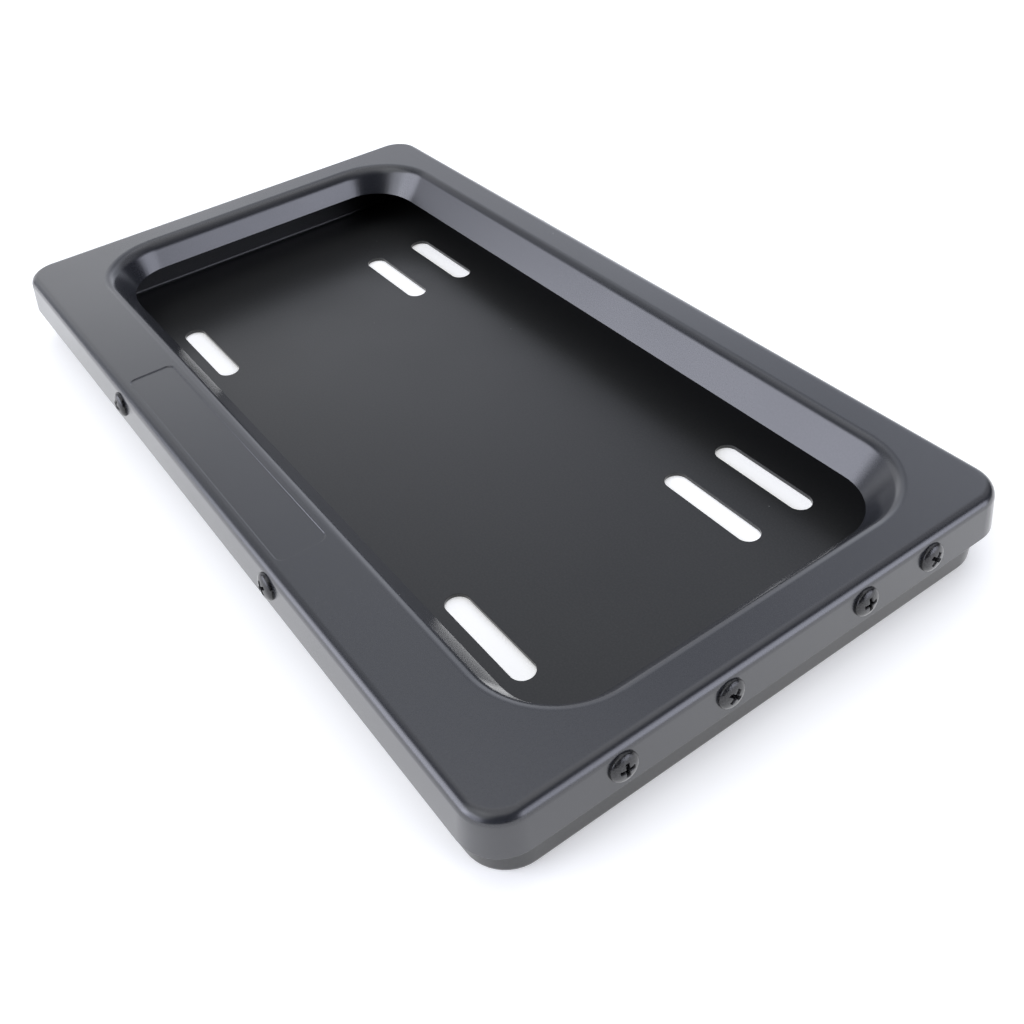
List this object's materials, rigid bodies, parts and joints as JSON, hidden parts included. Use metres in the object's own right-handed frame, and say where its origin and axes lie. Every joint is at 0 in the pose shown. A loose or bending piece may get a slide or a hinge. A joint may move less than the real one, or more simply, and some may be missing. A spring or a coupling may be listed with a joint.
{
  "type": "number plate holder",
  "caption": "Shallow pressed holder for a number plate: a slotted back tray closed by a front cover with an open window and a label recess, screwed together round the sides.",
  "frame": {"origin": "middle of the holder's length and width, on the plane of the tray's back", "axes": "+X along the length, +Y across it towards the narrow border, +Z out of the front"},
  "size_m": [0.373, 0.208, 0.0303],
  "materials": {
    "cover": "satin",
    "tray": "satin",
    "screws": "satin"
  },
  "bodies": {
    "root": {"front_cover": "cover", "back_tray": "tray", "left_screw_1": "screws", "left_screw_2": "screws", "left_screw_3": "screws", "left_screw_4": "screws", "right_screw_1": "screws", "right_screw_2": "screws", "right_screw_3": "screws", "right_screw_4": "screws", "top_screw_1": "screws", "top_screw_2": "screws", "bottom_screw_1": "screws", "bottom_screw_2": "screws"}
  },
  "joints": []
}
